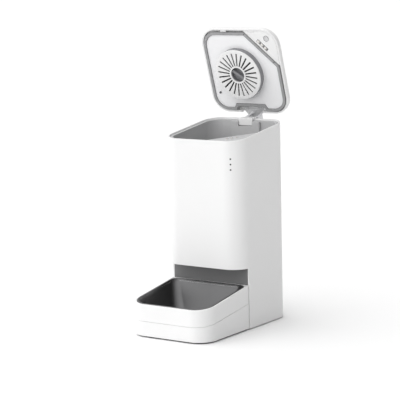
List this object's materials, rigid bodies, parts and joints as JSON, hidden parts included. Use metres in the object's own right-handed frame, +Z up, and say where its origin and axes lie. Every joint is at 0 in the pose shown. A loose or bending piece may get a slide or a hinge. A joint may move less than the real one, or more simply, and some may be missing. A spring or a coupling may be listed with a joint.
{
  "type": "automatic pet feeder",
  "caption": "Tall square feeder tower with a hinged lid, food hopper, metering rotor, front outlet and a pull-out stand with a steel bowl.",
  "frame": {"origin": "on the floor, under the middle of the whole feeder with its lid open", "axes": "+Z up, -Y towards the bowl, +X to the right of someone facing the bowl's side from the front"},
  "size_m": [0.17, 0.3114, 0.546],
  "materials": {
    "white_plastic": "smooth satin white moulding",
    "pale_plastic": "fine matt pale grey moulding",
    "grey_plastic": "smooth mid grey moulding",
    "grey_rubber": "soft grey silicone",
    "grip_plastic": "smoked grey moulding",
    "inner_plastic": "plain light grey moulding",
    "dark_plastic": "dark grey moulding",
    "dark_rubber": "dark grey rubber",
    "dark_steel": "satin dark stainless steel",
    "bright_steel": "plain steel",
    "contact_metal": "nickelled contact metal",
    "circuit_board": "green circuit board",
    "light_lens": "smoked clear lens"
  },
  "bodies": {
    "tower": {"outer_shell": "white_plastic", "recess_panel": "dark_plastic", "base_plate": "dark_plastic", "rubber_foot_1": "dark_rubber", "rubber_foot_2": "dark_rubber", "rubber_foot_3": "dark_rubber", "rubber_foot_4": "dark_rubber", "base_screw_1": "bright_steel", "base_screw_2": "bright_steel", "base_screw_3": "bright_steel", "base_screw_4": "bright_steel", "hopper": "grey_plastic", "corner_deck": "grey_plastic", "deck_contact_1": "contact_metal", "deck_contact_2": "contact_metal", "deck_contact_3": "contact_metal", "channel_cover": "grey_plastic", "metering_well": "inner_plastic", "gear_motor": "bright_steel", "outlet_chute": "inner_plastic", "main_board": "circuit_board", "power_jack": "dark_plastic", "indicator_board": "circuit_board", "indicator_light_1": "light_lens", "indicator_light_2": "light_lens", "indicator_light_3": "light_lens", "hinge_base": "white_plastic", "hinge_pin": "bright_steel"},
    "rotor": {"rotor": "dark_plastic", "rotor_shaft": "bright_steel", "stirrer": "inner_plastic"},
    "lid": {"lid_cover": "white_plastic", "lid_liner": "pale_plastic", "lid_seal": "grey_rubber", "corner_panel": "white_plastic", "corner_screw": "bright_steel", "lid_contact_1": "contact_metal", "lid_contact_2": "contact_metal", "lid_contact_3": "contact_metal", "button_switch": "dark_plastic", "catch_left": "white_plastic", "catch_right": "white_plastic", "hinge_arm": "bright_steel", "arm_plate": "bright_steel", "arm_screw_1": "bright_steel", "arm_screw_2": "bright_steel"},
    "button": {"feed_button": "white_plastic"},
    "desiccant_box": {"desiccant_cup": "grey_plastic", "desiccant_grille": "white_plastic", "grip_bar": "grip_plastic"},
    "stand": {"stand_base": "white_plastic", "stand_pad": "dark_rubber", "stand_tray": "white_plastic"},
    "bowl": {"bowl": "dark_steel"}
  },
  "joints": [
    {"name": "lid_hinge", "type": "hinge", "parent": "tower", "child": "lid", "pos_m": [0, 0.13953, 0.36951], "axis": [1, 0, 0], "range_deg": [0, 80.5]},
    {"name": "button_press", "type": "slide", "parent": "lid", "child": "button", "axis": [0, -0.9537, -0.3007], "range_m": [0, 0.0015], "stiffness_N_per_m": 800},
    {"name": "box_twist", "type": "hinge", "parent": "lid", "child": "desiccant_box", "pos_m": [-0.008, 0.11105, 0.45819], "axis": [0, 0.9537, 0.3007], "range_deg": [0, 30]},
    {"name": "rotor_spin", "type": "hinge", "parent": "tower", "child": "rotor", "pos_m": [0, 0.05173, 0.17], "axis": [0, 0, 1], "continuous": true},
    {"name": "stand_slide", "type": "slide", "parent": "tower", "child": "stand", "axis": [0, -1, 0], "range_m": [0, 0.15]},
    {"name": "bowl_lift", "type": "slide", "parent": "stand", "child": "bowl", "axis": [0, 0, 1], "range_m": [0, 0.028]}
  ]
}
